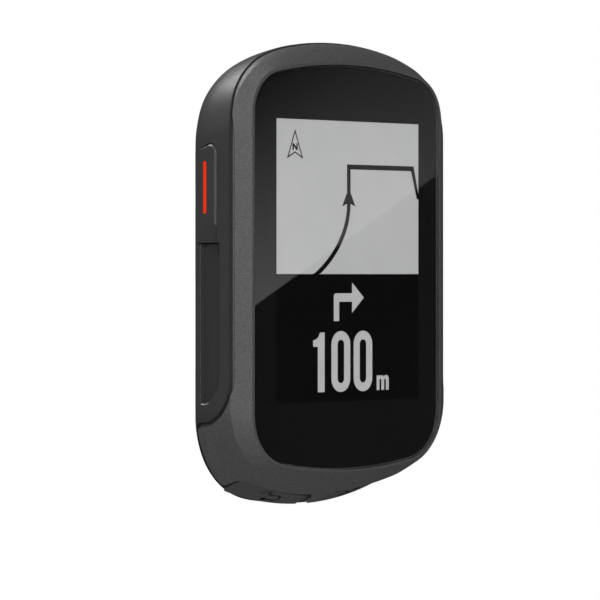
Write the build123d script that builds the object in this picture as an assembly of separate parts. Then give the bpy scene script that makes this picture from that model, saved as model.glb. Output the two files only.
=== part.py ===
from build123d import *
import math
import os

# Compact cycling computer with a quarter-turn mount on its back.
#
# The case is modelled upright: X to the right, depth from the window plane along +Y, and height from the
# middle of the case along +Z. When the pieces are written they move, so that the origin is the middle of
# the mount's seating face. Left and right are as the rider sees them.

# ---------------------------------------------------------------- driving dimensions, millimetres
overall_width = 41.0
overall_height = 63.0
overall_depth = 16.0
key_proud = 0.15
mount_standoff = 3.9
mount_height = 1.5

case_half_width = overall_width / 2 - key_proud
case_top = overall_height / 2
case_bottom = overall_height / 2 - key_proud
case_depth = overall_depth - mount_standoff

lip_half_width = 18.0
chin_rise = 4.6
chin_depth = 9.5
chin_power = 1.5
seam_depth = 1.75
brow_rise = 2.75
brow_depth = 3.2
brow_power = 1.5
brow_seam = 2.95
side_round_start = 6.2
side_round_drop = 5.8
top_round_start = 2.0
top_round_drop = 5.2
bottom_round_drop = 3.0
round_end = case_depth + 0.15

lip_top_arc = 65.0
wall_top_arc = 48.0
lip_bottom_arc = 69.0
wall_bottom_arc = 61.0
lip_top_corner = 5.1
lip_bottom_corner = 6.2
top_corner = 12.0
bottom_corner = 10.6
soft_power = 2.35
top_power = 3.0
corner_steps = 6

skirt_wall = 1.1
skirt_gap = 0.1
shell_wall = 2.4
skirt_back = 9.6
skirt_top = -20.0
skirt_bend = 6.1
seam_gap = 0.25
seam_step = 0.35
seam_groove = 0.45

window_thickness = 0.6
window_recess = 0.05
window_clearance = 0.08
border_thickness = 0.03
window_half_width = 17.5
window_top = 28.25
window_bottom = -26.35
window_top_corner = 4.8
window_bottom_corner = 5.8
ledge_depth = 0.85
flange_depth = 2.4

screen_width = 27.1
screen_height = 37.9
screen_shift = 0.3
screen_centre = 1.78
panel_width = 29.1
panel_height = 42.7
panel_centre = 0.6
panel_front = window_recess + window_thickness + 0.05
panel_back = 2.15
backlight_back = 2.8
tray_back = 3.05

board_front = 4.2
board_back = 5.0
board_inset = 2.9
board_notch = 17.1

key_travel = 0.4
key_clearance = 0.15
side_key_front = 4.5
side_key_back = 9.0
side_pocket_floor = case_half_width - 1.35
side_cap_inner = side_pocket_floor + 0.5
side_key_top = 17.7
side_key_bottom = 4.2
side_stem_depth = 6.7
key_bevel = 0.25
key_ramp_fall = 0.55
stem_radius = 1.2
bore_radius = 1.25
plunger_radius = 0.7
switch_well_radius = 0.75
switch_well_depth = key_travel + 0.8

bottom_key_inner = 1.1
bottom_pocket_floor = 1.55
bottom_key_corners = [(-14.6, 5.7), (-1.1, 6.8), (-1.1, 9.45), (-14.6, 9.45)]
bottom_key_radii = [1.6, 0.5, 0.1, 0.4]
bottom_dish_corners = [(-15.0, 2.0), (-4.0, 3.2), (-0.8, 6.6), (-0.8, 9.7), (-15.0, 9.7)]
bottom_dish_radii = [1.5, 1.5, 0.6, 0.05, 0.05]
dish_height = -29.3
dish_slope = -0.175
key_face_height = -28.07
key_face_slope = -0.46
dish_arc = 45.0
chin_slopes_start = 2.0
bottom_seal_inset = 0.55
bottom_stem_x = -8.2
bottom_stem_depth = 7.9

scoop_floor = case_half_width - 1.05
scoop_bevel = 0.3
scoop_front = 4.15
scoop_back = 7.9
scoop_end = -17.2
scoop_bend = 3.3

mount_core_radius = 12.7
mount_tab_radius = 15.5
mount_tab_thickness = 1.8
mount_tab_angle = 62.0

cap_width = 12.4
cap_height = 7.4
cap_centre = -22.6
cap_recess = 1.3
cap_thickness = 1.1
cap_corner = 1.8
cap_notch_radius = 1.6
cap_hinge_x = cap_width / 2 - 0.9
cap_hinge_depth = case_depth - 0.65
cap_bead_radius = 0.5
cap_bead_half = 2.6
port_width = 7.6
port_height = 2.7

case_screw_places = [(-9.5, 24.3), (9.5, 24.3), (-12.0, -22.7), (12.0, -22.7)]
counterbore_radius = 1.65
board_screw_places = [(-16.5, 0.5), (16.5, 0.5), (-16.5, -12.0), (16.5, -12.0)]
case_post_radius = 1.5
board_post_radius = 1.1

vent_place = (7.6, 21.0)

FAR = 60.0
PLACE = Location((0, -overall_depth, -mount_height))
NODES = {}


# ---------------------------------------------------------------- drawing helpers
def front_plane(depth):
    """Plane across the case at a depth: X to the right, Y up, facing the rider."""
    return Plane(origin=(0, depth, 0), x_dir=(1, 0, 0), z_dir=(0, -1, 0))


def plate(sketch, front, back):
    """Sketch seen from the front, made solid between two depths."""
    return extrude(front_plane(front) * sketch, amount=front - back)


def across(sketch, left, right):
    """Sketch in depth and height, made solid between two X values."""
    return extrude(Plane.YZ.offset(left) * sketch, amount=right - left)


def upright(sketch, low, high):
    """Sketch in X and depth, made solid between two heights."""
    return extrude(Plane.XY.offset(low) * sketch, amount=high - low)


def pin_back(x, height, radius, front, back):
    """Round pin along the depth."""
    return plate(Pos(x, height) * Circle(radius), front, back)


def pin_side(depth, height, radius, left, right):
    """Round pin along X."""
    return across(Pos(depth, height) * Circle(radius), left, right)


def pin_up(x, depth, radius, low, high):
    """Round pin along the height."""
    return upright(Pos(x, depth) * Circle(radius), low, high)


def block(x, depth, height):
    """Box between three pairs of limits."""
    size = (x[1] - x[0], depth[1] - depth[0], height[1] - height[0])
    middle = ((x[0] + x[1]) / 2, (depth[0] + depth[1]) / 2, (height[0] + height[1]) / 2)
    return Pos(*middle) * Box(*size)


def closed_face(*edges):
    return make_face(Curve() + list(edges))


# ---------------------------------------------------------------- outer shape of the case
def mix(first, second, share):
    return first + (second - first) * share


def turned_in(depth, start, drop):
    """How far a wall has turned in towards the back face: a quarter ellipse."""
    if depth <= start:
        return 0.0
    along = (depth - start) / (round_end - start)
    return drop * (1 - math.sqrt(1 - along * along))


def sag(radius, x):
    """Drop of a shallow arc at a distance from its middle."""
    return radius - math.sqrt(radius ** 2 - x ** 2)


def soft_end(half_width, level, arc, radius, power):
    """Upper end of an outline: a shallow arc between two corners that start and end without a kink."""
    points = []
    shares = [step / corner_steps for step in range(corner_steps + 1)]
    for share in shares:
        turn = math.pi / 2 * share
        x = half_width - radius * (1 - math.sin(turn) ** (2 / power))
        fall = radius * (1 - abs(math.cos(turn)) ** (2 / power))
        points.append((x, level - fall - sag(arc, x)))
    x, height = points[0]
    slope = (math.sqrt(arc ** 2 - x ** 2), -x)
    corner = Edge.make_spline(points, tangents=[slope, (0, -1)], parameters=shares)
    crown = ThreePointArc((-x, height), (0, level), (x, height))
    return [mirror(corner, about=Plane.YZ), crown, corner], points[-1][1]


def outline(half_width, top, bottom, upper, lower):
    """Face with straight sides. Each end has its arc radius, corner size and corner power."""
    upper_edges, upper_end = soft_end(half_width, top, *upper)
    lower_edges, lower_end = soft_end(half_width, -bottom, *lower)
    right = Line((half_width, upper_end), (half_width, -lower_end))
    left = Line((-half_width, -lower_end), (-half_width, upper_end))
    low = [mirror(edge, about=Plane.XZ) for edge in reversed(lower_edges)]
    return closed_face(*upper_edges, right, *low, left)


def case_section(depth, inset=0.0):
    """Outline of the case at a depth, drawn in by an inset."""
    share = min(depth / seam_depth, 1.0)
    lower_share = min(depth / side_round_start, 1.0)
    brow = max(1 - depth / brow_depth, 0.0) ** brow_power
    chin = max(1 - depth / chin_depth, 0.0) ** chin_power
    side_turn = turned_in(depth, side_round_start, side_round_drop)
    top_turn = turned_in(depth, top_round_start, top_round_drop)
    bottom_turn = turned_in(depth, chin_depth, bottom_round_drop)
    top_arc = 1 / mix(1 / wall_top_arc, 1 / lip_top_arc, brow)
    upper_corner = mix(top_corner, lip_top_corner, brow) - 1.1 * side_turn
    lower_corner = mix(lip_bottom_corner, bottom_corner, lower_share) - 0.5 * side_turn
    bottom_arc = mix(lip_bottom_arc, wall_bottom_arc, share)
    face = outline(
        mix(lip_half_width, case_half_width, share) - side_turn - inset,
        case_top - brow_rise * brow - top_turn - inset,
        chin_rise * chin + bottom_turn + inset - case_bottom,
        (top_arc - inset, upper_corner - inset, mix(top_power, soft_power, brow)),
        (bottom_arc - inset, lower_corner - inset, soft_power),
    )
    return front_plane(depth) * face


def case_form(front, back, inset=0.0):
    """Solid with the case's shape between two depths, drawn in by an inset."""
    bezel_stations = [0.0, 0.6, 1.2, seam_depth]
    wall_stations = [2.2, 2.7, brow_depth, 4.4, side_round_start, 8.0, chin_depth, 10.6, 11.4, 11.85]
    between = {station for station in bezel_stations + wall_stations if front < station < back}
    depths = sorted({front, back} | between)
    bezel = [d for d in depths if d <= seam_depth]
    wall = [d for d in depths if d >= seam_depth]
    form = None
    if len(bezel) > 1:
        form = loft([case_section(d, inset) for d in bezel])
    if len(wall) > 1:
        walls = loft([case_section(d, inset) for d in wall])
        form = walls if form is None else form + walls
    return form


def window_outline(grow=0.0):
    return outline(
        window_half_width + grow,
        window_top + grow,
        window_bottom - grow,
        (lip_top_arc + grow, window_top_corner + grow, soft_power),
        (lip_bottom_arc + grow, window_bottom_corner + grow, soft_power),
    )


def parting_region(gap=0.0):
    """Everything in front of the joint between the housings, in depth and height."""
    step = FilletPolyline(
        (brow_seam + gap, FAR),
        (brow_seam + gap, 26.0),
        (seam_depth + gap, 19.0),
        (seam_depth + gap, skirt_top + gap),
        (skirt_back + gap, skirt_top + gap),
        (skirt_back + gap, -FAR),
        radius=[16.0, 16.0, skirt_bend - gap, 1.5 + gap],
    )
    rest = Polyline((skirt_back + gap, -FAR), (-5, -FAR), (-5, FAR), (brow_seam + gap, FAR))
    return across(make_face(step.edges() + rest.edges()), -30, 30)


# ---------------------------------------------------------------- outlines shared by keys and their pockets
def side_key_outline(low, high, grow=0.0):
    """Side key seen from the side. A key that reaches the top slopes down towards the back there."""
    arch = high == side_key_top
    fall = 1.5 if arch else 0.0
    corners = [(side_key_front, high), (side_key_back, high - fall), (side_key_back, low), (side_key_front, low)]
    radii = [1.2, 2.0, 0.4, 0.4] if arch else [0.4, 0.4, 0.4, 0.4]
    face = make_face(FilletPolyline(*corners, radius=radii, close=True).edges())
    return offset(face, grow) if grow else face


def bottom_key_outline(grow=0.0):
    """Left bottom key seen from below, in X and depth."""
    outline_edges = FilletPolyline(*bottom_key_corners, radius=bottom_key_radii, close=True).edges()
    return offset(make_face(outline_edges), grow) if grow else make_face(outline_edges)


def bottom_dish_outline():
    """Dished area of the chin around the left bottom key."""
    return make_face(FilletPolyline(*bottom_dish_corners, radius=bottom_dish_radii, close=True).edges())


def mirrored(part, side):
    """Parts are drawn on the left; the right one is the mirror image."""
    return part if side == "left" else mirror(part, about=Plane.YZ)


# name, side, low end, high end, whether the low end slopes into the scoop
SIDE_KEYS = [
    ("power_key", "left", side_key_bottom, side_key_top, True),
    ("up_key", "right", 10.95, side_key_top, False),
    ("down_key", "right", side_key_bottom, 10.55, True),
]
BOTTOM_KEYS = [("back_key", "left"), ("start_key", "right")]


def scoop_cutter():
    """Long finger groove below the side keys, with a small bevel around its rim."""
    side = FilletPolyline(
        (scoop_front, side_key_bottom),
        (scoop_front, scoop_end),
        (scoop_back, scoop_end),
        radius=[scoop_bend],
    )
    rest = Polyline((scoop_back, scoop_end), (scoop_back, side_key_bottom), (scoop_front, side_key_bottom))
    face = make_face(side.edges() + rest.edges())
    groove = across(face, -FAR / 2, -scoop_floor)
    rim = extrude(Plane.YZ.offset(-case_half_width) * offset(face, scoop_bevel), amount=scoop_bevel, taper=45)
    return groove + (rim & block((-FAR, 0), (0, FAR), (-FAR, side_key_bottom)))


def under_slope(height, slope, arc):
    """Everything below a shallow arc that falls towards the back of the chin."""
    half = case_half_width
    ends = height + sag(arc, half)
    crown = ThreePointArc((-half, ends), (0, height), (half, ends))
    rest = Polyline((half, ends), (half, -FAR), (-half, -FAR), (-half, ends))
    face = make_face(crown.edges() + rest.edges())
    return extrude(front_plane(chin_slopes_start) * face, amount=10, dir=(0, 1, slope))


def side_pockets(side):
    """Openings in one side wall: key pockets and the bores for their stems."""
    cutters = []
    for name, key_side, low, high, slopes in SIDE_KEYS:
        if key_side != side:
            continue
        face = side_key_outline(low, high, key_clearance)
        middle = (low + high) / 2
        cutters.append(across(face, -FAR / 2, -side_pocket_floor))
        cutters.append(pin_side(side_stem_depth, middle, bore_radius, -FAR / 2, -10))
        cutters.append(pin_side(side_stem_depth, middle, 2.1, shell_wall - case_half_width, -10))
    return cutters


# ---------------------------------------------------------------- housings
def display_opening(front, back, grow=0.0):
    shape = RectangleRounded(panel_width + 1.2 + 2 * grow, panel_height + 1.2 + 2 * grow, 0.4)
    return plate(Pos(0, panel_centre) * shape, front, back)


def make_front_housing():
    """Grained bezel with the window's seat, and a chin skirt that wraps under the case."""
    skin = case_form(0.0, skirt_back + 0.4) & parting_region()
    skin -= case_form(seam_depth, skirt_back + 1.0, skirt_wall)
    flange = case_form(seam_depth - 0.3, flange_depth, shell_wall + 0.1)
    posts = [pin_back(x, z, case_post_radius, ledge_depth + 0.3, board_back + 0.1) for x, z in case_screw_places]
    posts += [pin_back(x, z, board_post_radius, flange_depth - 0.3, board_front) for x, z in board_screw_places]
    edge = parting_region() - parting_region(-seam_step)
    cutters = [plate(window_outline(window_clearance), -1, ledge_depth), display_opening(0, 4, 0.15)]
    cutters.append(edge - case_form(1.0, skirt_back + 0.6, seam_groove))
    cutters += [pin_back(x, z, 0.8, flange_depth, board_back + 1) for x, z in case_screw_places]
    cutters += [pin_back(x, z, 0.6, flange_depth, board_front + 1) for x, z in board_screw_places]
    pocket = upright(bottom_key_outline(key_clearance), -FAR, -20)
    dish = upright(bottom_dish_outline(), -FAR, -20) & under_slope(dish_height, dish_slope, dish_arc)
    for name, side in BOTTOM_KEYS:
        cutters += [mirrored(pocket, side), mirrored(dish, side)]
    return (skin + [flange] + posts) - cutters


def make_rear_housing():
    """Smooth shell with the side walls, the back, the inner rim of the chin and the mount."""
    walls = case_form(seam_depth, case_depth) - parting_region(0.05)
    groove = parting_region(seam_gap) & (walls - case_form(seam_depth, case_depth, seam_groove))
    rim = case_form(seam_depth + 0.05, skirt_back + 0.3, skirt_wall + skirt_gap)
    shell = walls - groove + rim
    shell -= case_form(seam_depth, case_depth - shell_wall, shell_wall)
    back = case_depth - shell_wall + 0.2
    shell += [pin_back(x, z, 1.7, board_back + 0.2, back) for x, z in case_screw_places] + [make_mount()]
    cutters = [cap_pocket(), seal_groove(), pin_back(*vent_place, 0.5, 0, FAR)]
    for x, height in case_screw_places:
        cutters.append(pin_back(x, height, 1.6, 0, board_back + 0.2))
        cutters.append(pin_back(x, height, 0.8, 0, FAR))
        cutters.append(pin_back(x, height, counterbore_radius, case_depth - 1.35, FAR))
    for side in ("left", "right"):
        cutters += [mirrored(cutter, side) for cutter in side_pockets(side) + [scoop_cutter()]]
    deep = case_form(seam_depth, case_depth, bottom_pocket_floor)
    pocket = upright(bottom_key_outline(key_clearance), -FAR, -20) - deep
    bore = pin_up(bottom_stem_x, bottom_stem_depth, bore_radius, -FAR, -20)
    bore += pin_up(bottom_stem_x, bottom_stem_depth, 2.1, rim_inside() + 0.3, -20)
    for name, side in BOTTOM_KEYS:
        cutters += [mirrored(pocket, side), mirrored(bore, side)]
    return shell - cutters


def seal_groove():
    """Groove around the front of the shell that holds the case seal."""
    outer = case_form(seam_depth, seam_depth + 0.5, 1.5)
    return outer - case_form(seam_depth - 0.1, seam_depth + 0.6, 2.1)


def make_mount():
    """Round quarter-turn boss with two tabs, above and below."""
    back = overall_depth
    boss = pin_back(0, mount_height, mount_core_radius, case_depth - 0.2, back)
    half = mount_tab_angle / 2
    reach = mount_tab_radius * 2
    wedge_end = (reach * math.sin(math.radians(half)), reach * math.cos(math.radians(half)))
    wedge = Polyline((0, 0), wedge_end, (-wedge_end[0], wedge_end[1]), close=True)
    tab = Circle(mount_tab_radius) & make_face(wedge)
    tabs = tab + mirror(tab, about=Plane.XZ)
    tabs = plate(Pos(0, mount_height) * tabs, back - mount_tab_thickness, back)
    mount = boss + tabs
    dish = pin_back(0, mount_height, 9.0, back - 0.7, back + 1)
    return mount - dish


def cap_pocket():
    """Recess for the weather cap, the port's opening through the back wall, and a fingernail notch."""
    recess = Pos(0, cap_centre) * RectangleRounded(cap_width + 0.4, cap_height + 0.4, 2.0)
    opening = Pos(0, cap_centre) * RectangleRounded(port_width + 1.6, port_height + 1.6, 1.0)
    notch = pin_back(-cap_width / 2, cap_centre, cap_notch_radius, case_depth - 0.8, FAR)
    return plate(recess, case_depth - cap_recess, FAR) + plate(opening, 5.0, FAR) + notch


# ---------------------------------------------------------------- keys
def make_side_key(low, high, slopes):
    """Cap of a side key on the left: follows the wall, stands a little proud, and has a stem behind."""
    face = side_key_outline(low, high)
    shoulder = case_half_width + key_proud - key_bevel
    cap = across(face, -shoulder, -side_cap_inner)
    cap += extrude(Plane.YZ.offset(-shoulder) * face, amount=-key_bevel, taper=45)
    key = cap & case_form(seam_depth, case_depth, -key_proud)
    if slopes:
        key -= key_ramp(low)
    return key + side_stem((low + high) / 2)


def key_ramp(low):
    """Wedge that slopes a side key's lower end into the groove, more so towards the front."""
    outer = case_half_width + key_proud
    corners = [
        (-outer - 1.5, low + 6.45),
        (-outer + 1.2, low - 0.3),
        (-outer + 1.2, low - 6),
        (-outer - 1.5, low - 6),
    ]
    face = Plane.XZ.offset(-side_key_front) * make_face(Polyline(*corners, close=True))
    return extrude(face, amount=6, dir=(0, 1, -key_ramp_fall)) + extrude(face, amount=1, dir=(0, -1, 0))


def side_stem(middle):
    """Stem through the wall, with a groove for the seal, one for the clip, and a slim end."""
    clip_at = -(case_half_width - shell_wall) + 0.05
    stem = pin_side(side_stem_depth, middle, stem_radius, -side_cap_inner - 0.2, clip_at + 0.75)
    seal_at = -side_pocket_floor + 0.55
    stem -= ring_side(middle, 0.8, 2.0, seal_at - 0.25, seal_at + 0.25)
    stem -= ring_side(middle, 0.75, 2.0, clip_at, clip_at + 0.3)
    return stem


def ring_side(middle, inner, outer, left, right):
    ring = Circle(outer) - Circle(inner)
    return across(Pos(side_stem_depth, middle) * ring, left, right)


def side_seal(middle):
    """Round-section seal in the stem's groove."""
    seal_at = -side_pocket_floor + 0.55
    return Pos(seal_at, side_stem_depth, middle) * Rot(0, 90, 0) * Torus(1.02, 0.2)


def side_clip(middle):
    """Open ring that stops the stem from coming out."""
    clip_at = -(case_half_width - shell_wall) + 0.05
    slot = block((clip_at - 1, clip_at + 1), (side_stem_depth, side_stem_depth + 3), (middle - 0.5, middle + 0.5))
    return ring_side(middle, 0.76, 1.9, clip_at + 0.02, clip_at + 0.27) - slot


def side_plunger(middle):
    start = -(case_half_width - shell_wall) + 0.8
    return pin_side(side_stem_depth, middle, plunger_radius, start, start + 1.0)


def side_switch(middle):
    """Switch on the board's edge, with a well for the plunger."""
    face = -(case_half_width - shell_wall) + 1.35
    body = block((face, face + 2.6), (board_back, board_back + 3.3), (middle - 2.2, middle + 2.2))
    return body - pin_side(side_stem_depth, middle, switch_well_radius, face - 1, face + switch_well_depth)


def make_power_accent():
    """Bright inlay in the power key's face."""
    bar = across(Pos(6.6, 11.5) * RectangleRounded(0.62, 7.0, 0.3), -FAR / 2, -case_half_width + 0.35)
    return bar & case_form(seam_depth, case_depth, -key_proud - 0.02)


def make_bottom_key():
    """Left bottom key: a curved cap that follows the chin, and a stem pointing up into the case."""
    cap = upright(bottom_key_outline(), -FAR, -22) - case_form(seam_depth, skirt_back + 0.6, bottom_key_inner)
    cap -= under_slope(key_face_height, key_face_slope, dish_arc)
    return cap + bottom_stem()


def rim_inside():
    """Height of the rim's inner face over the bottom key's stem."""
    chin = chin_rise * (1 - bottom_stem_depth / chin_depth) ** chin_power
    sag = wall_bottom_arc - math.sqrt(wall_bottom_arc ** 2 - bottom_stem_x ** 2)
    return -case_bottom + chin + sag + shell_wall


def bottom_stem():
    top = rim_inside() + 1.05
    stem = pin_up(bottom_stem_x, bottom_stem_depth, stem_radius, rim_inside() - 1.6, top)
    seal_at = rim_inside() - bottom_seal_inset
    stem -= ring_up(0.8, 2.0, seal_at - 0.25, seal_at + 0.25)
    stem -= ring_up(0.75, 2.0, rim_inside() + 0.3, rim_inside() + 0.6)
    return stem


def ring_up(inner, outer, low, high):
    ring = Circle(outer) - Circle(inner)
    return upright(Pos(bottom_stem_x, bottom_stem_depth) * ring, low, high)


def bottom_seal():
    return Pos(bottom_stem_x, bottom_stem_depth, rim_inside() - bottom_seal_inset) * Torus(1.02, 0.2)


def bottom_clip():
    low = rim_inside() + 0.32
    slot = block(
        (bottom_stem_x - 0.5, bottom_stem_x + 0.5),
        (bottom_stem_depth, bottom_stem_depth + 3),
        (low - 1, low + 1),
    )
    return ring_up(0.76, 1.8, low, low + 0.25) - slot


def bottom_plunger():
    low = rim_inside() + 1.05
    return pin_up(bottom_stem_x, bottom_stem_depth, plunger_radius, low, low + 1.0)


def bottom_switch():
    face = rim_inside() + 1.6
    body = block(
        (bottom_stem_x - 1.9, bottom_stem_x + 1.9),
        (board_back, board_back + 3.6),
        (face, face + 2.6),
    )
    floor = face + switch_well_depth
    return body - pin_up(bottom_stem_x, bottom_stem_depth, switch_well_radius, face - 1, floor)


# ---------------------------------------------------------------- window and display
def make_lens():
    return plate(window_outline(), window_recess, window_recess + window_thickness)


def make_window_border():
    """Opaque print behind the window, open over the screen."""
    front = window_recess + window_thickness
    border = plate(window_outline(-0.15), front, front + border_thickness)
    screen = Pos(screen_shift, screen_centre) * Rectangle(screen_width, screen_height)
    return border - plate(screen, front - 1, front + 1)


def make_window_adhesive():
    ring = plate(window_outline(-0.2), panel_front, ledge_depth)
    return ring - display_opening(0, 4, 0.3)


def panel_plate(front, back, grow=0.0):
    shape = Rectangle(panel_width + 2 * grow, panel_height + 2 * grow)
    return plate(Pos(0, panel_centre) * shape, front, back)


def make_display_tray():
    """Thin pressed tray around the panel and the backlight, notched for the ribbon."""
    low = panel_centre - panel_height / 2
    rounded = RectangleRounded(panel_width + 0.9, panel_height + 0.9, 0.4)
    tray = plate(Pos(0, panel_centre) * rounded, panel_front + 0.3, tray_back)
    tray -= panel_plate(0, backlight_back, 0.15)
    return tray - block((-6.2, 6.2), (0, 4), (low - 2, low - 0.12))


def make_display_ribbon():
    """Flat ribbon from the panel's lower edge, down behind the tray to the board."""
    low = panel_centre - panel_height / 2
    drop = block((-6, 6), (1.75, 3.85), (low - 0.42, low - 0.3))
    lead = block((-6, 6), (3.73, 3.85), (low - 0.42, low + 6))
    end = block((-6, 6), (1.75, 1.87), (low - 0.42, low))
    foot = block((-6, 6), (3.85, 3.97), (low + 4, low + 6))
    return drop + lead + end + foot


# ---------------------------------------------------------------- electronics
def make_main_board():
    """Board cut to the case's outline, notched for the posts."""
    shape = case_section(board_front, board_inset)
    board = extrude(shape, amount=board_front - board_back)
    for x, height in case_screw_places:
        board -= pin_back(x, height, 1.85, 0, 9)
    for x, height in board_screw_places:
        board -= pin_back(x, height, 0.75, 0, 9)
    for name, side, low, high, slopes in SIDE_KEYS:
        middle = (low + high) / 2
        notch = block((-FAR, -board_notch), (0, 9), (middle - 2.1, middle + 2.1))
        board -= mirrored(notch, side)
    return board


def make_shield_can():
    lid = block((-8.5, 8.5), (3.25, board_front), (4.0, 17.5))
    return lid - block((-8.3, 8.3), (3.4, 5.0), (4.2, 17.3))


def on_front(x, height, width, tall, thick):
    """Chip on the front face of the board."""
    return block(
        (x - width / 2, x + width / 2),
        (board_front - thick, board_front),
        (height - tall / 2, height + tall / 2),
    )


def on_back(x, height, width, tall, thick):
    """Part on the back face of the board."""
    return block(
        (x - width / 2, x + width / 2),
        (board_back, board_back + thick),
        (height - tall / 2, height + tall / 2),
    )


def make_power_chips():
    return [on_front(-9.0 + 5.0 * step, -3.0, 2.6, 2.6, 0.6) for step in range(4)]


def make_antenna_carrier():
    """Moulded bracket along the top edge, under the top wall."""
    outer = case_form(board_back, 8.6, shell_wall + 0.35)
    inner = case_form(board_back - 0.1, 8.7, shell_wall + 1.5)
    return (outer - inner) & block((-7.0, 7.0), (board_back, 8.6), (20, 40))


def make_positioning_antenna():
    outer = case_form(5.6, 8.0, shell_wall + 0.18)
    inner = case_form(5.5, 8.1, shell_wall + 0.32)
    return (outer - inner) & block((-6.5, 6.5), (5.6, 8.0), (20, 40))


def make_battery():
    cell = Pos(0, 1.5) * RectangleRounded(23.5, 30.5, 1.5)
    return plate(cell, 5.7, 9.2)


def make_battery_pad():
    pad = Pos(0, 1.5) * Rectangle(20, 26)
    return plate(pad, 9.2, case_depth - shell_wall)


def make_battery_lead():
    flat = block((2.0, 6.0), (7.2, 7.35), (16.75, 18.6))
    turn = block((2.0, 6.0), (6.35, 7.35), (18.45, 18.6))
    return flat + turn


def make_beeper():
    return plate(Pos(-4.6, 20.9) * RectangleRounded(6.4, 4.6, 0.6), board_back, board_back + 2.0)


def make_vent_membrane():
    return pin_back(*vent_place, 1.4, case_depth - shell_wall - 0.2, case_depth - shell_wall)


# ---------------------------------------------------------------- port and weather cap
def make_port_shell():
    """Metal shell of the port, open towards the back."""
    outer = Pos(0, cap_centre) * RectangleRounded(port_width, port_height, 0.6)
    inner = Pos(0, cap_centre) * RectangleRounded(port_width - 0.5, port_height - 0.5, 0.4)
    return plate(outer, board_back, 10.6) - plate(inner, board_back + 0.6, 11)


def make_port_tongue():
    return block((-2.9, 2.9), (board_back + 0.6, 9.6), (cap_centre + 0.1, cap_centre + 0.7))


def make_usb_cap():
    """Rubber cover with a collar and a short plug for the port, and a bead at its hinge."""
    cover = Pos(0, cap_centre) * RectangleRounded(cap_width, cap_height, cap_corner)
    cover = plate(cover, case_depth - cap_thickness, case_depth)
    cover &= block((-FAR, cap_hinge_x - 0.75), (0, FAR), (-FAR, FAR))
    low = cap_centre - cap_bead_half
    high = cap_centre + cap_bead_half
    bead = pin_up(cap_hinge_x, cap_hinge_depth, cap_bead_radius, low, high)
    web_depth = (cap_hinge_depth - 0.25, cap_hinge_depth + 0.25)
    web = block((cap_hinge_x - 1.0, cap_hinge_x), web_depth, (low, high))
    plug = Pos(0, cap_centre) * RectangleRounded(port_width - 1.3, port_height - 1.1, 0.5)
    plug = plate(plug, 9.75, case_depth - cap_thickness + 0.2)
    collar = Pos(0, cap_centre) * RectangleRounded(port_width + 1.1, port_height + 1.1, 0.9)
    collar = plate(collar, 10.75, case_depth - cap_thickness + 0.2)
    return cover + bead + web + plug + collar


def make_usb_cap_anchor():
    """Fixed rubber root that the hinge bead turns in."""
    body = Pos(0, cap_centre) * RectangleRounded(cap_width, cap_height, cap_corner)
    body = plate(body, case_depth - cap_thickness, case_depth - 0.25)
    body &= block((cap_hinge_x - 0.6, FAR), (0, FAR), (-FAR, FAR))
    low = cap_centre - cap_bead_half - 0.1
    high = cap_centre + cap_bead_half + 0.1
    body -= pin_up(cap_hinge_x, cap_hinge_depth, cap_bead_radius + 0.05, low, high)
    body -= block((-FAR, cap_hinge_x), (cap_hinge_depth - 0.6, FAR), (low, high))
    return body - block((-FAR, cap_hinge_x + 0.65), (cap_hinge_depth, FAR), (low, high))


# ---------------------------------------------------------------- fasteners
def make_case_screws():
    screws = []
    for x, height in case_screw_places:
        head = pin_back(x, height, 1.5, case_depth - 1.35, case_depth - 0.45)
        socket = plate(Pos(x, height) * RegularPolygon(0.65, 6), case_depth - 0.95, FAR)
        shank = pin_back(x, height, 0.8, flange_depth + 0.6, case_depth - 1.35)
        screws.append(head + shank - socket)
    return screws


def make_board_screws():
    screws = []
    for x, height in board_screw_places:
        head = pin_back(x, height, 1.1, board_back, board_back + 0.7)
        shank = pin_back(x, height, 0.6, flange_depth + 0.3, board_back)
        slot = block((x - 1.0, x + 1.0), (board_back + 0.45, FAR), (height - 0.15, height + 0.15))
        screws.append(head + shank - slot)
    return screws


def make_case_seal():
    ring = case_form(seam_depth + 0.02, seam_depth + 0.48, 1.53)
    return ring - case_form(seam_depth - 0.1, seam_depth + 0.6, 2.07)


# ---------------------------------------------------------------- the whole computer
def add(name, shape):
    NODES[name] = shape


def add_keys():
    for name, side, low, high, slopes in SIDE_KEYS:
        middle = (low + high) / 2
        cap = make_side_key(low, high, slopes)
        if name == "power_key":
            accent = make_power_accent()
            add("power_key_accent", accent)
            cap -= accent
        add(name, mirrored(cap, side))
        add(name + "_seal", mirrored(side_seal(middle), side))
        add(name + "_clip", mirrored(side_clip(middle), side))
        add(name + "_plunger", mirrored(side_plunger(middle), side))
    for name, side in BOTTOM_KEYS:
        add(name, mirrored(make_bottom_key(), side))
        add(name + "_seal", mirrored(bottom_seal(), side))
        add(name + "_clip", mirrored(bottom_clip(), side))
        add(name + "_plunger", mirrored(bottom_plunger(), side))


def add_switches():
    switches = [mirrored(side_switch((low + high) / 2), side) for name, side, low, high, slopes in SIDE_KEYS]
    switches += [mirrored(bottom_switch(), side) for name, side in BOTTOM_KEYS]
    add("tact_switches", switches)


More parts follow.
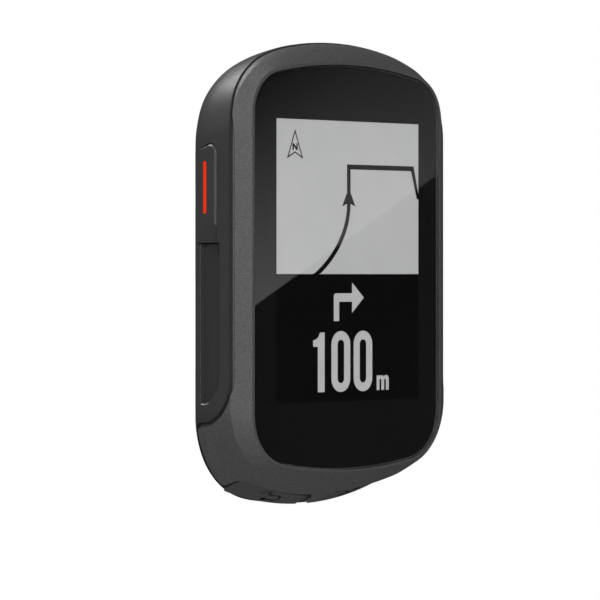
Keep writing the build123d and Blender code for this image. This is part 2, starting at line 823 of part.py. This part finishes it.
def build():
    add("front_housing", make_front_housing())
    add("rear_housing", make_rear_housing())
    add("case_seal", make_case_seal())
    add("lens", make_lens())
    add("window_border", make_window_border())
    add("window_adhesive", make_window_adhesive())
    add("display_panel", panel_plate(panel_front, panel_back))
    add("backlight", panel_plate(panel_back, backlight_back, 0.1))
    add("display_tray", make_display_tray())
    add("display_ribbon", make_display_ribbon())
    add("main_board", make_main_board())
    add("shield_can", make_shield_can())
    add("processor", on_front(-3.5, 10.5, 7.0, 7.0, 0.65))
    add("memory_chip", on_front(4.6, 12.5, 5.0, 6.0, 0.6))
    add("positioning_receiver", on_front(4.6, 6.6, 3.0, 3.0, 0.6))
    add("power_chips", make_power_chips())
    add("antenna_carrier", make_antenna_carrier())
    add("positioning_antenna", make_positioning_antenna())
    add("radio_antenna", on_back(-14.6, -18.0, 1.6, 3.2, 1.2))
    add("battery", make_battery())
    add("battery_pad", make_battery_pad())
    add("battery_lead", make_battery_lead())
    add("battery_connector", on_back(3.6, 19.0, 5.0, 2.2, 1.35))
    add("beeper", make_beeper())
    add("pressure_sensor", on_back(*vent_place, 2.4, 2.4, 1.0))
    add("vent_membrane", make_vent_membrane())
    add("port_shell", make_port_shell())
    add("port_tongue", make_port_tongue())
    add("usb_cap", make_usb_cap())
    add("usb_cap_anchor", make_usb_cap_anchor())
    add("case_screws", make_case_screws())
    add("board_screws", make_board_screws())
    add_keys()
    add_switches()


def write_parts():
    os.makedirs("parts", exist_ok=True)
    for name, shape in NODES.items():
        pieces = shape if isinstance(shape, list) else shape.solids()
        solids = [solid for piece in pieces for solid in piece.solids()]
        solids = [PLACE * solid for solid in solids]
        whole = solids[0] if len(solids) == 1 else Compound(children=solids)
        export_step(whole, f"parts/{name}.step")
        print(name, len(solids), round(sum(s.volume for s in solids), 2))


build()
write_parts()
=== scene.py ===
import math
import bmesh
import bpy
from mathutils import Matrix, Vector


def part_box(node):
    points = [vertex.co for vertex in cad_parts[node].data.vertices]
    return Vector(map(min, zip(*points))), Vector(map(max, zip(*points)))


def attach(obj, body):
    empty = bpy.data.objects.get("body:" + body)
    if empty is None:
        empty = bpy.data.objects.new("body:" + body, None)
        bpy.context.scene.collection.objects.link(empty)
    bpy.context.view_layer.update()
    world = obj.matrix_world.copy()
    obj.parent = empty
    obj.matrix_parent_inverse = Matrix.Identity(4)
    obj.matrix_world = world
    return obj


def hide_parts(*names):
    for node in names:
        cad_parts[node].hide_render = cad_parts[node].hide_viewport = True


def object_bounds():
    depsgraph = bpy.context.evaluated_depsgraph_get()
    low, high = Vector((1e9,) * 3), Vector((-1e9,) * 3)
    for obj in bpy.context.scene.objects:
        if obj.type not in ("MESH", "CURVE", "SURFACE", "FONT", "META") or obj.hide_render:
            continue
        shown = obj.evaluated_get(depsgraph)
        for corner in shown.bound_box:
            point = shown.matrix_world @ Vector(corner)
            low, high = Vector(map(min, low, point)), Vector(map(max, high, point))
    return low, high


# A compact cycling computer with a quarter-turn mount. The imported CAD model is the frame; this script adds
# the picture on the screen, the marks on the keys, every material, the stage, the lights and the camera.
# Outlines are drawn in millimetres; places, and all that is multiplied by MM, are in the frame's metres.

MM = 0.001
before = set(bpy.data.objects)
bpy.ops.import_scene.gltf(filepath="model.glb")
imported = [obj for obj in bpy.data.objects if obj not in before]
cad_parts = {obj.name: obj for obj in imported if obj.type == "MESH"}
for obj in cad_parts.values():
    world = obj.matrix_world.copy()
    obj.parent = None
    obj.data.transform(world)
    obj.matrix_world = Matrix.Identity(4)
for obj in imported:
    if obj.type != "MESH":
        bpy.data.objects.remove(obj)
cad_low, cad_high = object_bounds()

# ---------------------------------------------------------------- bodies, sizes and places
CASE = "case"
KEYS = ("power_key", "up_key", "down_key", "back_key", "start_key")

PANEL_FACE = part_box("display_panel")[0].y
SCREEN_X = 0.3 * MM
SCREEN_Z = 0.28 * MM
SCREEN_WIDTH = 27.1
SCREEN_HEIGHT = 37.9
PAGE_SPLIT = -1.75
HALF_WIDTH = SCREEN_WIDTH / 2
PAGE_TOP = SCREEN_HEIGHT / 2
MARGIN = 0.15
LAYER = 0.010 * MM
PRINT_GAP = 0.006 * MM

MARK_BACK = -0.03 * MM
MARK_FRONT = 0.012 * MM
MARK_LINE = 0.24
MARK_STEP = 0.25
CLEAR_OF_CASE = 5 * MM
MITRE_LIMIT = 0.4

VIEW_ANGLE = 44
CAMERA_PLACE = (-0.3270, -0.3450, -0.0018)
CAMERA_LENS = 205.5
CAMERA_SHIFT = -0.0392
LAMP_DISTANCE = 0.8
FLOOR_DROP = 0.45
FLOOR_HALF = 3.0
FLOOR_FADE = (0.12, 0.7)
CARD_PLACE = (0.2985, -0.316, 0.0082)
CARD_TILT = -27.3


# ---------------------------------------------------------------- node helpers
def new_material(name):
    material = bpy.data.materials.new(name)
    material.use_nodes = True
    tree = material.node_tree
    shader = tree.nodes["Principled BSDF"]
    return material, tree, shader


def place(tree):
    """Position in the object's own coordinates, so that a finish rides along with a moving body."""
    return tree.nodes.new("ShaderNodeTexCoord").outputs["Object"]


NOISE_LOW = 0.3
NOISE_HIGH = 0.7


def noise(tree, size, detail=2.0, stretch=(1, 1, 1)):
    """Noise whose blobs are about this size in metres."""
    mapping = tree.nodes.new("ShaderNodeMapping")
    mapping.inputs["Scale"].default_value = stretch
    tree.links.new(place(tree), mapping.inputs["Vector"])
    texture = tree.nodes.new("ShaderNodeTexNoise")
    texture.inputs["Scale"].default_value = 1 / size
    texture.inputs["Detail"].default_value = detail
    tree.links.new(mapping.outputs[0], texture.inputs["Vector"])
    return texture.outputs["Fac"]


def blend_colour(tree, factor, low, high):
    """Colour that goes from low to high over the range that noise covers."""
    ramp = tree.nodes.new("ShaderNodeValToRGB")
    ramp.color_ramp.elements[0].position = NOISE_LOW
    ramp.color_ramp.elements[1].position = NOISE_HIGH
    ramp.color_ramp.elements[0].color = (*low, 1)
    ramp.color_ramp.elements[1].color = (*high, 1)
    tree.links.new(factor, ramp.inputs["Fac"])
    return ramp.outputs["Color"]


def remap(tree, factor, start, stop, low, high):
    """Number that goes from low to high while the factor goes from start to stop."""
    change = tree.nodes.new("ShaderNodeMapRange")
    change.inputs["From Min"].default_value = start
    change.inputs["From Max"].default_value = stop
    change.inputs["To Min"].default_value = low
    change.inputs["To Max"].default_value = high
    tree.links.new(factor, change.inputs["Value"])
    return change.outputs["Result"]


def spread(tree, factor, low, high):
    return remap(tree, factor, NOISE_LOW, NOISE_HIGH, low, high)


def multiply(tree, first, second):
    node = tree.nodes.new("ShaderNodeMath")
    node.operation = "MULTIPLY"
    tree.links.new(first, node.inputs[0])
    tree.links.new(second, node.inputs[1])
    return node.outputs[0]


def light_path(tree, kind):
    return tree.nodes.new("ShaderNodeLightPath").outputs[kind]


def show_mix(tree, factor, first, second, end="Material Output"):
    """Shows one shader where the factor is 0 and the other where it is 1."""
    mix = tree.nodes.new("ShaderNodeMixShader")
    tree.links.new(factor, mix.inputs["Fac"])
    tree.links.new(first.outputs[0], mix.inputs[1])
    tree.links.new(second.outputs[0], mix.inputs[2])
    tree.links.new(mix.outputs[0], tree.nodes[end].inputs["Surface"])


def bump(tree, shader, factor, height, strength=1.0):
    node = tree.nodes.new("ShaderNodeBump")
    node.inputs["Strength"].default_value = strength
    node.inputs["Distance"].default_value = height
    tree.links.new(factor, node.inputs["Height"])
    tree.links.new(node.outputs["Normal"], shader.inputs["Normal"])


def shade(colour, by):
    return tuple(min(1.0, c * by) for c in colour)


def mottled(tree, factor, colour, vary):
    return blend_colour(tree, factor, shade(colour, 1 - vary), shade(colour, 1 + vary))


def surface(name, colour, rough, grain, height, vary=0.06, metal=0.0, stretch=(1, 1, 1)):
    """A finish with grain of a size and height in metres, slight mottling of colour and uneven gloss."""
    material, tree, shader = new_material(name)
    fine = noise(tree, grain, 3.0, stretch)
    broad = noise(tree, 9 * MM, 2.0)
    tree.links.new(mottled(tree, broad, colour, vary), shader.inputs["Base Color"])
    tree.links.new(spread(tree, fine, rough - 0.06, rough + 0.06), shader.inputs["Roughness"])
    shader.inputs["Metallic"].default_value = metal
    bump(tree, shader, fine, height)
    return material


def blasted(name, colour, rough):
    """Moulded plastic with a spark-eroded grain."""
    material, tree, shader = new_material(name)
    fine = noise(tree, 0.22 * MM, 4.0)
    coarse = noise(tree, 0.5 * MM, 2.0)
    broad = noise(tree, 11 * MM, 2.0)
    speckle = tree.nodes.new("ShaderNodeMix")
    speckle.data_type = "RGBA"
    speckle.inputs["Factor"].default_value = 0.4
    tree.links.new(mottled(tree, fine, colour, 0.45), speckle.inputs["A"])
    tree.links.new(mottled(tree, broad, colour, 0.06), speckle.inputs["B"])
    tree.links.new(speckle.outputs["Result"], shader.inputs["Base Color"])
    tree.links.new(spread(tree, coarse, rough - 0.05, rough + 0.05), shader.inputs["Roughness"])
    bump(tree, shader, fine, 0.05 * MM, 0.8)
    return material


def glass(name):
    """Clear window that lets lamps through to what is behind it."""
    material, tree, shader = new_material(name)
    faint = noise(tree, 14 * MM, 1.0)
    tint = blend_colour(tree, faint, (0.955, 0.965, 0.965), (0.985, 0.99, 0.99))
    tree.links.new(tint, shader.inputs["Base Color"])
    shader.inputs["Transmission Weight"].default_value = 1.0
    shader.inputs["Roughness"].default_value = 0.0
    shader.inputs["IOR"].default_value = 1.5
    clear = tree.nodes.new("ShaderNodeBsdfTransparent")
    show_mix(tree, light_path(tree, "Is Shadow Ray"), shader, clear)
    return material


PRINT_VARY = 0.012
PRINT_BASE = 0.35


def lit_print(name, colour, glow):
    """Matt print. Where glow is above 0 it also gets painted light: an emission that stands in for light the
    print would reflect from the lamps.
    """
    material, tree, shader = new_material(name)
    faint = noise(tree, 4 * MM, 2.0)
    darker = shade(colour, PRINT_BASE - PRINT_VARY)
    lighter = shade(colour, PRINT_BASE + PRINT_VARY)
    dim = blend_colour(tree, faint, darker, lighter)
    tree.links.new(dim, shader.inputs["Base Color"])
    tree.links.new(mottled(tree, faint, colour, PRINT_VARY), shader.inputs["Emission Color"])
    # Painted glow: this emission stands in for reflected light, since the print is no lamp.
    shader.inputs["Emission Strength"].default_value = glow
    shader.inputs["Roughness"].default_value = 0.6
    shader.inputs["Specular IOR Level"].default_value = 0.0
    return material


BEZEL = blasted("bezel_grain", (0.1, 0.1, 0.102), 0.55)
SHELL = surface("shell_satin", (0.048, 0.048, 0.049), 0.42, 0.35 * MM, 0.002 * MM)
KEY = surface("key_satin", (0.05, 0.05, 0.051), 0.42, 0.35 * MM, 0.002 * MM)
# The red accent gets painted glow: it is no lamp, yet it emits light at strength 0.6.
ACCENT_PAINTED_GLOW = lit_print("accent_painted_glow", (1.0, 0.035, 0.008), 0.6)
GLASS = glass("window_glass")
LENS_EDGE = surface("lens_edge_dark_matt", (0.02, 0.02, 0.021), 0.6, 0.2 * MM, 0.002 * MM)
BORDER = lit_print("border_print", (0.015, 0.015, 0.016), 0.0)
RUBBER = surface("cap_rubber", (0.03, 0.03, 0.031), 0.62, 0.25 * MM, 0.006 * MM)
SEAL = surface("seal_rubber", (0.02, 0.02, 0.02), 0.5, 0.3 * MM, 0.003 * MM)
FOAM = surface("foam", (0.03, 0.03, 0.03), 0.9, 0.2 * MM, 0.03 * MM)
STEEL = surface("pressed_steel", (0.62, 0.62, 0.63), 0.3, 0.15 * MM, 0.002 * MM, 0.05, 1.0, (1, 1, 8))
SCREW = surface("black_screw", (0.1, 0.1, 0.105), 0.32, 0.15 * MM, 0.002 * MM, 0.05, 1.0)
MASK = surface("solder_mask", (0.01, 0.07, 0.035), 0.3, 0.6 * MM, 0.004 * MM, 0.25)
CHIP = surface("chip_epoxy", (0.018, 0.018, 0.019), 0.55, 0.12 * MM, 0.004 * MM)
MOULDED = surface("moulded_black", (0.03, 0.03, 0.032), 0.45, 0.3 * MM, 0.003 * MM)
BRASS = surface("plated_brass", (0.8, 0.62, 0.3), 0.25, 0.3 * MM, 0.001 * MM, 0.05, 1.0)
CERAMIC = surface("ceramic", (0.75, 0.74, 0.7), 0.4, 0.3 * MM, 0.002 * MM)
FOIL = surface("battery_foil", (0.68, 0.69, 0.7), 0.38, 1.2 * MM, 0.01 * MM, 0.05, 1.0)
FILM = surface("amber_film", (0.5, 0.2, 0.03), 0.25, 0.8 * MM, 0.002 * MM)
CLOTH = surface("vent_film", (0.82, 0.82, 0.82), 0.8, 0.1 * MM, 0.01 * MM)
PANEL = surface("panel_glass", (0.3, 0.31, 0.31), 0.3, 0.3 * MM, 0.0005 * MM)
GUIDE = surface("light_guide", (0.8, 0.82, 0.85), 0.2, 0.5 * MM, 0.001 * MM)
TIN = surface("tin_plate", (0.6, 0.6, 0.6), 0.35, 0.2 * MM, 0.003 * MM, 0.06, 1.0)
# The screen's grey gets painted glow: emission at 0.8 stands in for the light that the reflective screen
# gives back.
MAP_GREY_PAINTED_GLOW = lit_print("map_grey_painted_glow", (0.43, 0.43, 0.43), 0.8)
MARK = lit_print("mark_print", (0.02, 0.02, 0.02), 0.0)
PAGE_BLACK = lit_print("page_black", (0.004, 0.004, 0.004), 0.0)
INK_BLACK = lit_print("ink_black", (0.006, 0.006, 0.006), 0.0)

FINISHES = {
    "front_housing": BEZEL, "rear_housing": SHELL, "lens": GLASS, "window_border": BORDER,
    "window_adhesive": FOAM, "display_panel": PANEL, "backlight": GUIDE, "display_tray": STEEL,
    "display_ribbon": FILM, "case_seal": SEAL, "main_board": MASK, "shield_can": STEEL,
    "processor": CHIP, "memory_chip": CHIP, "positioning_receiver": CHIP, "power_chips": CHIP,
    "antenna_carrier": MOULDED, "positioning_antenna": BRASS, "radio_antenna": CERAMIC,
    "battery": FOIL, "battery_pad": FOAM, "battery_lead": FILM, "battery_connector": MOULDED,
    "beeper": CHIP, "pressure_sensor": STEEL, "vent_membrane": CLOTH, "port_shell": STEEL,
    "port_tongue": MOULDED, "usb_cap": RUBBER, "usb_cap_anchor": RUBBER, "case_screws": SCREW,
    "board_screws": SCREW, "tact_switches": TIN, "power_key_accent": ACCENT_PAINTED_GLOW,
}
for key in KEYS:
    FINISHES[key] = KEY
    FINISHES[key + "_seal"] = SEAL
    FINISHES[key + "_clip"] = STEEL
    FINISHES[key + "_plunger"] = MOULDED


def dress(thing, material):
    thing.data.materials.clear()
    thing.data.materials.append(material)


for node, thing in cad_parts.items():
    dress(thing, FINISHES[node])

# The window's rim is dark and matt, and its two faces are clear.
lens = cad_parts["lens"]
lens.data.materials.append(LENS_EDGE)
for face in lens.data.polygons:
    if abs(face.normal.y) < 0.5:
        face.material_index = 1

# The print stands a hair behind the window, so that the two faces don't coincide.
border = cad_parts["window_border"]
printed = border.data.copy()
printed.transform(Matrix.Translation((0, PRINT_GAP, 0)) @ border.matrix_world)
window_print = bpy.data.objects.new("window_print", printed)
bpy.context.scene.collection.objects.link(window_print)
dress(window_print, BORDER)
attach(window_print, CASE)
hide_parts("window_border")


# ---------------------------------------------------------------- picture on the screen
def arc(centre, radius, start, stop, steps=10):
    """Points along an arc, angles in degrees."""
    points = []
    for step in range(steps + 1):
        angle = math.radians(start + (stop - start) * step / steps)
        points.append((centre[0] + radius * math.cos(angle), centre[1] + radius * math.sin(angle)))
    return points


def bezier(a, b, c, d, steps=24):
    points = []
    for step in range(steps + 1):
        t = step / steps
        s = 1 - t
        weights = (s * s * s, 3 * s * s * t, 3 * s * t * t, t * t * t)
        points.append(tuple(sum(w * p[axis] for w, p in zip(weights, (a, b, c, d))) for axis in (0, 1)))
    return points


def stadium(left, right, low, high, steps=12):
    """Upright bar with fully round ends."""
    radius = (right - left) / 2
    middle = (left + right) / 2
    upper = arc((middle, high - radius), radius, 0, 180, steps)
    lower = arc((middle, low + radius), radius, 180, 360, steps)
    return upper + lower


def ribbon(points, width):
    """Outline of a line of constant width with mitred corners."""
    sides = ([], [])
    for index, point in enumerate(points):
        here = Vector(point)
        before = Vector(points[max(index - 1, 0)])
        after = Vector(points[min(index + 1, len(points) - 1)])
        first = (here - before).normalized() if index else (after - here).normalized()
        second = (after - here).normalized() if index < len(points) - 1 else first
        across = Vector((-(first + second).y, (first + second).x)).normalized()
        reach = width / 2 / max(across.dot(Vector((-first.y, first.x))), MITRE_LIMIT)
        sides[0].append(tuple(here + across * reach))
        sides[1].append(tuple(here - across * reach))
    return sides[0] + sides[1][::-1]


def on_screen(x, z, depth):
    return SCREEN_X + x, depth, SCREEN_Z + z


def flat_shape(name, outlines, front, back, material, put=on_screen, body=CASE, finish="display"):
    """Thin piece from closed outlines in millimetres, holes included. put gives the place of each point."""
    curve = bpy.data.curves.new(name, "CURVE")
    curve.dimensions = "2D"
    curve.fill_mode = "BOTH"
    curve.extrude = (back - front) / 2
    for outline in outlines:
        spline = curve.splines.new("POLY")
        spline.points.add(len(outline) - 1)
        for point, (x, z) in zip(spline.points, outline):
            point.co = (x * MM, z * MM, 0, 1)
        spline.use_cyclic_u = True
    holder = bpy.data.objects.new(name + "_curve", curve)
    bpy.context.scene.collection.objects.link(holder)
    bpy.context.view_layer.update()
    mesh = bpy.data.meshes.new_from_object(holder.evaluated_get(bpy.context.evaluated_depsgraph_get()))
    bpy.data.objects.remove(holder)
    bpy.data.curves.remove(curve)
    for vertex in mesh.vertices:
        x, z, depth = vertex.co
        vertex.co = put(x, z, (front + back) / 2 - depth)
    piece = bpy.data.objects.new(name, mesh)
    bpy.context.scene.collection.objects.link(piece)
    dress(piece, material)
    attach(piece, body)


def rectangle(left, right, low, high):
    return [(left, low), (right, low), (right, high), (left, high)]


def layer(number):
    """Front and back of one printed layer, counted from the panel's face."""
    return PANEL_FACE - LAYER * (number + 0.9), PANEL_FACE - LAYER * number


page_edge = HALF_WIDTH + MARGIN
upper_page = rectangle(-page_edge, page_edge, PAGE_SPLIT, PAGE_TOP + MARGIN)
lower_page = rectangle(-page_edge, page_edge, -PAGE_TOP - MARGIN, PAGE_SPLIT)
flat_shape("map_page", [upper_page], *layer(0), MAP_GREY_PAINTED_GLOW)
flat_shape("turn_page", [lower_page], *layer(0), PAGE_BLACK)

ROUTE_WIDTH = 0.67
route = bezier((-6.6, -2.1), (-3.7, -0.4), (-0.1, 3.2), (0.0, 7.6))
route += [(0.0, 12.78), (12.35, 12.78), (13.6, 8.6)]
route_line = [(min(x, page_edge), max(z, PAGE_SPLIT)) for x, z in ribbon(route, ROUTE_WIDTH)]
flat_shape("route_line", [route_line], *layer(1), INK_BLACK)
flat_shape("position_arrow", [[(0, 9.95), (-1.28, 7.4), (0, 7.9), (1.28, 7.4)]], *layer(2), INK_BLACK)


def inset(points, by):
    """Closed outline moved inwards by a distance, for a hollow figure."""
    count = len(points)
    moved = []
    for index in range(count):
        before, here, after = (Vector(points[(index + k) % count]) for k in (-1, 0, 1))
        first = (here - before).normalized()
        second = (after - here).normalized()
        n1 = Vector((-first.y, first.x))
        n2 = Vector((-second.y, second.x))
        across = (n1 + n2).normalized()
        moved.append(tuple(here + across * by / max(across.dot(n1), 0.2)))
    return moved


north = [(-10.1, 17.6), (-11.6, 13.65), (-10.1, 14.45), (-8.6, 13.65)]
NORTH_LINE = 0.17
flat_shape("north_arrow", [north, inset(north, NORTH_LINE)], *layer(1), INK_BLACK)
n_left, n_right, n_low, n_high, n_stroke = -10.58, -9.62, 14.82, 15.72, 0.24
letter_n = [
    (n_left, n_low),
    (n_left, n_high),
    (n_left + n_stroke, n_high),
    (n_right - n_stroke, n_low + n_stroke * 1.7),
    (n_right - n_stroke, n_high),
    (n_right, n_high),
    (n_right, n_low),
    (n_right - n_stroke, n_low),
    (n_left + n_stroke, n_high - n_stroke * 1.7),
    (n_left + n_stroke, n_low),
]
flat_shape("north_letter", [letter_n], *layer(1), INK_BLACK)

turn_arrow = [(-2.85, -8.1), (-1.84, -8.1)]
turn_arrow += arc((-1.69, -5.65), 0.15, 180, 90, 4)
turn_arrow += [(0.63, -5.5), (0.63, -7.02), (2.88, -4.95), (0.63, -2.9), (0.63, -4.35)]
turn_arrow += arc((-2.4, -4.8), 0.45, 90, 180, 6)
flat_shape("turn_arrow", [turn_arrow], *layer(1), MAP_GREY_PAINTED_GLOW)

one = [(-5.86, -17.65), (-4.58, -17.65), (-4.58, -9.62), (-5.46, -9.62)]
one += arc((-6.75, -9.35), 1.3, -14, -90, 6)
one += [(-6.75, -11.52), (-5.86, -11.52)]
flat_shape("digit_one", [one], *layer(1), MAP_GREY_PAINTED_GLOW)
ZERO_WIDTH = 3.58
ZERO_STROKE = 1.17
for name, left in (("digit_zero_left", -3.3), ("digit_zero_right", 0.93)):
    outer = stadium(left, left + ZERO_WIDTH, -17.7, -9.45)
    hollow = stadium(left + ZERO_STROKE, left + ZERO_WIDTH - ZERO_STROKE, -16.5, -10.63)
    flat_shape(name, [outer, hollow], *layer(1), MAP_GREY_PAINTED_GLOW)


def letter_m(left, low, width, height, stroke):
    """Small m: three legs joined by two round shoulders."""
    step = (width - stroke) / 2
    outline = [(left, low), (left, low + height)]
    outline += [(left + stroke, low + height)]
    outline += arc((left + step + stroke / 2 - 0.15, low + height - 0.4), 0.42, 120, 20, 6)
    outline += arc((left + 2 * step + stroke - 0.55, low + height - 0.5), 0.55, 110, 0, 6)
    outline += [(left + width, low), (left + width - stroke, low)]
    outline += arc((left + width - stroke - 0.18, low + height - 0.65), 0.18, 0, 180, 5)
    outline += [(left + step + stroke, low), (left + step, low)]
    outline += arc((left + step - 0.18, low + height - 0.65), 0.18, 0, 180, 5)
    outline += [(left + stroke, low)]
    return outline


flat_shape("unit_letter", [letter_m(5.37, -17.6, 2.34, 2.0, 0.54)], *layer(1), MAP_GREY_PAINTED_GLOW)


# ---------------------------------------------------------------- marks on the keys
def below(x, depth):
    """Where a mark's point starts under the chin, and the way it goes."""
    return Vector((x, depth, cad_low.z - CLEAR_OF_CASE)), Vector((0, 0, 1))


def beside(depth, height):
    """Where a mark's point starts beside the right wall, and the way it goes."""
    return Vector((cad_high.x + CLEAR_OF_CASE, depth, height)), Vector((-1, 0, 0))


def laid_on(node, start):
    """Puts points on a key's face, as far in front of it as their depth says."""
    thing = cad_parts[node]
    world = thing.matrix_world
    inverse = world.inverted()

    def put(first, second, depth):
        origin, way = start(first, second)
        hit, point, normal, face = thing.ray_cast(inverse @ origin, inverse.to_3x3() @ way)
        if not hit:
            raise ValueError(f"a mark misses {node}")
        return world @ point - way * depth

    return put


def key_mark(name, outlines, node, start):
    flat_shape(name, outlines, MARK_BACK, MARK_FRONT, MARK, laid_on(node, start), node, "key")


def strip(points):
    """Outline of a line whose long straight parts are divided, so that it can follow a curved face."""
    finer = [points[0]]
    for a, b in zip(points, points[1:]):
        count = max(1, round(math.dist(a, b) / MARK_STEP))
        for k in range(1, count + 1):
            finer.append((a[0] + (b[0] - a[0]) * k / count, a[1] + (b[1] - a[1]) * k / count))
    return ribbon(finer, MARK_LINE)


hook = [(-8.1, -8.6), (-6.2, -8.6)] + arc((-6.2, -7.95), 0.65, -90, 90, 12)[1:] + [(-7.6, -7.3)]
key_mark("back_hook", [strip(hook)], "back_key", below)
key_mark("back_point", [[(-8.55, -7.3), (-7.6, -7.75), (-7.6, -6.85)]], "back_key", below)
triangle = [(6.4, -8.75), (7.8, -8.05), (6.4, -7.35), (6.4, -8.75), (6.6, -8.65)]
key_mark("start_triangle", [strip(triangle)], "start_key", below)
for name, left in (("start_bar_left", 8.5), ("start_bar_right", 9.2)):
    key_mark(name, [strip([(left, -8.75), (left, -7.35)])], "start_key", below)
for name, node, height, rise in (("up_mark", "up_key", 12.35, 0.8), ("down_mark", "down_key", 6.65, -0.8)):
    tip = height + rise / 2
    foot = height - rise / 2
    key_mark(name, [strip([(-10.15, foot), (-9.35, tip), (-8.55, foot)])], node, beside)


# ---------------------------------------------------------------- stage, lights and camera
def studio_floor():
    """Pale floor below the held computer, which fades into the pale surroundings."""
    mesh = bpy.data.meshes.new("studio_floor")
    bm = bmesh.new()
    bmesh.ops.create_grid(bm, x_segments=96, y_segments=96, size=FLOOR_HALF)
    bm.to_mesh(mesh)
    bm.free()
    floor = bpy.data.objects.new("studio_floor", mesh)
    floor.location = (0, 0, cad_low.z - FLOOR_DROP)
    bpy.context.scene.collection.objects.link(floor)
    material, tree, shader = new_material("pale_floor")
    radial = tree.nodes.new("ShaderNodeVectorMath")
    radial.operation = "LENGTH"
    tree.links.new(place(tree), radial.inputs[0])
    fade = tree.nodes.new("ShaderNodeMapRange")
    fade.interpolation_type = "SMOOTHSTEP"
    fade.inputs["From Min"].default_value = FLOOR_FADE[0]
    fade.inputs["From Max"].default_value = FLOOR_FADE[1]
    tree.links.new(radial.outputs["Value"], fade.inputs["Value"])
    faint = noise(tree, 0.25, 2.0)
    pale = blend_colour(tree, faint, (0.56, 0.56, 0.56), (0.6, 0.6, 0.6))
    tree.links.new(pale, shader.inputs["Base Color"])
    shader.inputs["Roughness"].default_value = 0.9
    glow = tree.nodes.new("ShaderNodeEmission")
    glow.inputs["Strength"].default_value = 1.0
    show_mix(tree, multiply(tree, fade.outputs["Result"], light_path(tree, "Is Camera Ray")), shader, glow)
    dress(floor, material)


def surroundings(level):
    """Even pale surroundings: white to the camera, dimmer as light on the object."""
    world = bpy.data.worlds.new("studio")
    world.use_nodes = True
    tree = world.node_tree
    dim = tree.nodes["Background"]
    dim.inputs["Color"].default_value = (1, 1, 1, 1)
    dim.inputs["Strength"].default_value = level
    white = tree.nodes.new("ShaderNodeBackground")
    white.inputs["Color"].default_value = (1, 1, 1, 1)
    white.inputs["Strength"].default_value = 1.0
    show_mix(tree, light_path(tree, "Is Camera Ray"), dim, white, "World Output")
    bpy.context.scene.world = world


def softbox(name, direction, width, height, watts):
    """Soft lamp that faces the object from a direction."""
    lamp = bpy.data.lights.new(name, "AREA")
    lamp.shape = "RECTANGLE"
    lamp.size = width
    lamp.size_y = height
    lamp.energy = watts
    holder = bpy.data.objects.new(name, lamp)
    towards = Vector(direction).normalized()
    holder.location = towards * LAMP_DISTANCE
    holder.rotation_euler = towards.to_track_quat("Z", "Y").to_euler()
    holder.visible_camera = False
    bpy.context.scene.collection.objects.link(holder)


def reflection_card():
    """White card that only reflections show, brightest along its slanting lower edge."""
    width, height, steps = 0.16, 0.12, 8
    mesh = bpy.data.meshes.new("reflection_card")
    vertices = []
    faces = []
    for row in range(steps + 1):
        for column in range(steps + 1):
            vertices.append(((column / steps - 0.5) * width, row / steps * height, 0))
    for row in range(steps):
        for column in range(steps):
            first = row * (steps + 1) + column
            faces.append((first, first + 1, first + steps + 2, first + steps + 1))
    mesh.from_pydata(vertices, [], faces)
    card = bpy.data.objects.new("reflection_card", mesh)
    card.location = CARD_PLACE
    card.rotation_euler = (math.radians(90), math.radians(CARD_TILT), 0)
    bpy.context.scene.collection.objects.link(card)
    material, tree, shader = new_material("card_white")
    axes = tree.nodes.new("ShaderNodeSeparateXYZ")
    tree.links.new(place(tree), axes.inputs[0])
    upwards = remap(tree, axes.outputs["Y"], 0.0, 0.05, 0.64, 0.04)
    along = remap(tree, axes.outputs["X"], -0.037, 0.037, 1.0, 0.5)
    tree.links.new(multiply(tree, upwards, along), shader.inputs["Emission Strength"])
    shader.inputs["Base Color"].default_value = (0, 0, 0, 1)
    shader.inputs["Emission Color"].default_value = (1, 1, 1, 1)
    shader.inputs["Specular IOR Level"].default_value = 0.0
    dress(card, material)
    card.visible_camera = False
    card.visible_diffuse = False
    card.visible_shadow = False


def camera():
    """Level camera to the left of the computer, turned towards it."""
    data = bpy.data.cameras.new("camera")
    data.sensor_width = 36.0
    data.lens = CAMERA_LENS
    data.shift_y = CAMERA_SHIFT
    data.clip_start = 0.01
    data.clip_end = 20
    holder = bpy.data.objects.new("camera", data)
    holder.location = CAMERA_PLACE
    turn = math.radians(VIEW_ANGLE)
    heading = Vector((math.sin(turn), math.cos(turn), 0))
    holder.rotation_euler = heading.to_track_quat("-Z", "Y").to_euler()
    bpy.context.scene.collection.objects.link(holder)
    bpy.context.scene.camera = holder


studio_floor()
surroundings(0.03)
softbox("key", (-0.5, -0.82, 0.36), 0.45, 0.6, 4.0)
softbox("rim", (-0.2, 0.6, 0.8), 0.4, 0.4, 5.0)
softbox("side", (-1.0, 0.05, 0.6), 0.4, 0.4, 1.5)
reflection_card()
camera()
bpy.context.scene.view_settings.view_transform = "Standard"
